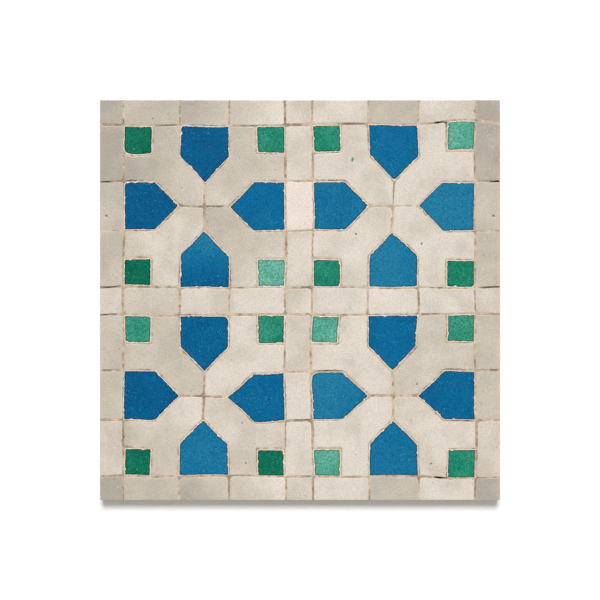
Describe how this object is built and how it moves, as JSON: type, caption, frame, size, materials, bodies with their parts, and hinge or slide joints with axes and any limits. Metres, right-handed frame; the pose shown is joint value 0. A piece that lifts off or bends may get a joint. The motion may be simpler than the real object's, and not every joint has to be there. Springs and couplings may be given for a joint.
{
  "type": "moroccan mosaic tile",
  "caption": "Square mosaic tile of hand-cut glazed tesserae, blue pentagons and green squares among cream branches and strips, set in a mortar bed, for facing walls and floors.",
  "frame": {"origin": "centre of the tile's back, on the surface that it lies on", "axes": "+Z out of the glazed face, +Y to the upper edge of the pattern, +X to its right edge"},
  "size_m": [0.3, 0.3, 0.02],
  "materials": {
    "blue_glaze": "cobalt blue glaze, satin, on a cut earthenware body",
    "green_glaze": "emerald to sea green glaze, satin, on a cut earthenware body",
    "cream_glaze": "cream white glaze, satin, on a cut earthenware body",
    "mortar": "sandy lime mortar, matt"
  },
  "bodies": {
    "root": {"blue_pentagon_lower_left_east": "blue_glaze", "blue_pentagon_lower_left_north": "blue_glaze", "blue_pentagon_lower_left_south": "blue_glaze", "blue_pentagon_lower_left_west": "blue_glaze", "blue_pentagon_lower_right_east": "blue_glaze", "blue_pentagon_lower_right_north": "blue_glaze", "blue_pentagon_lower_right_south": "blue_glaze", "blue_pentagon_lower_right_west": "blue_glaze", "blue_pentagon_upper_left_east": "blue_glaze", "blue_pentagon_upper_left_north": "blue_glaze", "blue_pentagon_upper_left_south": "blue_glaze", "blue_pentagon_upper_left_west": "blue_glaze", "blue_pentagon_upper_right_east": "blue_glaze", "blue_pentagon_upper_right_north": "blue_glaze", "blue_pentagon_upper_right_south": "blue_glaze", "blue_pentagon_upper_right_west": "blue_glaze", "cream_branch_lower_left_north_east": "cream_glaze", "cream_branch_lower_left_north_west": "cream_glaze", "cream_branch_lower_left_south_east": "cream_glaze", "cream_branch_lower_left_south_west": "cream_glaze", "cream_branch_lower_right_north_east": "cream_glaze", "cream_branch_lower_right_north_west": "cream_glaze", "cream_branch_lower_right_south_east": "cream_glaze", "cream_branch_lower_right_south_west": "cream_glaze", "cream_branch_upper_left_north_east": "cream_glaze", "cream_branch_upper_left_north_west": "cream_glaze", "cream_branch_upper_left_south_east": "cream_glaze", "cream_branch_upper_left_south_west": "cream_glaze", "cream_branch_upper_right_north_east": "cream_glaze", "cream_branch_upper_right_north_west": "cream_glaze", "cream_branch_upper_right_south_east": "cream_glaze", "cream_branch_upper_right_south_west": "cream_glaze", "cream_crossings_bottom": "cream_glaze", "cream_crossings_middle": "cream_glaze", "cream_crossings_top": "cream_glaze", "cream_strips_column_centre": "cream_glaze", "cream_strips_column_left": "cream_glaze", "cream_strips_column_right": "cream_glaze", "cream_strips_row_bottom": "cream_glaze", "cream_strips_row_middle": "cream_glaze", "cream_strips_row_top": "cream_glaze", "green_square_lower_left_north_east": "green_glaze", "green_square_lower_left_north_west": "green_glaze", "green_square_lower_left_south_east": "green_glaze", "green_square_lower_left_south_west": "green_glaze", "green_square_lower_right_north_east": "green_glaze", "green_square_lower_right_north_west": "green_glaze", "green_square_lower_right_south_east": "green_glaze", "green_square_lower_right_south_west": "green_glaze", "green_square_upper_left_north_east": "green_glaze", "green_square_upper_left_north_west": "green_glaze", "green_square_upper_left_south_east": "green_glaze", "green_square_upper_left_south_west": "green_glaze", "green_square_upper_right_north_east": "green_glaze", "green_square_upper_right_north_west": "green_glaze", "green_square_upper_right_south_east": "green_glaze", "green_square_upper_right_south_west": "green_glaze", "mortar_bed": "mortar"}
  },
  "joints": []
}
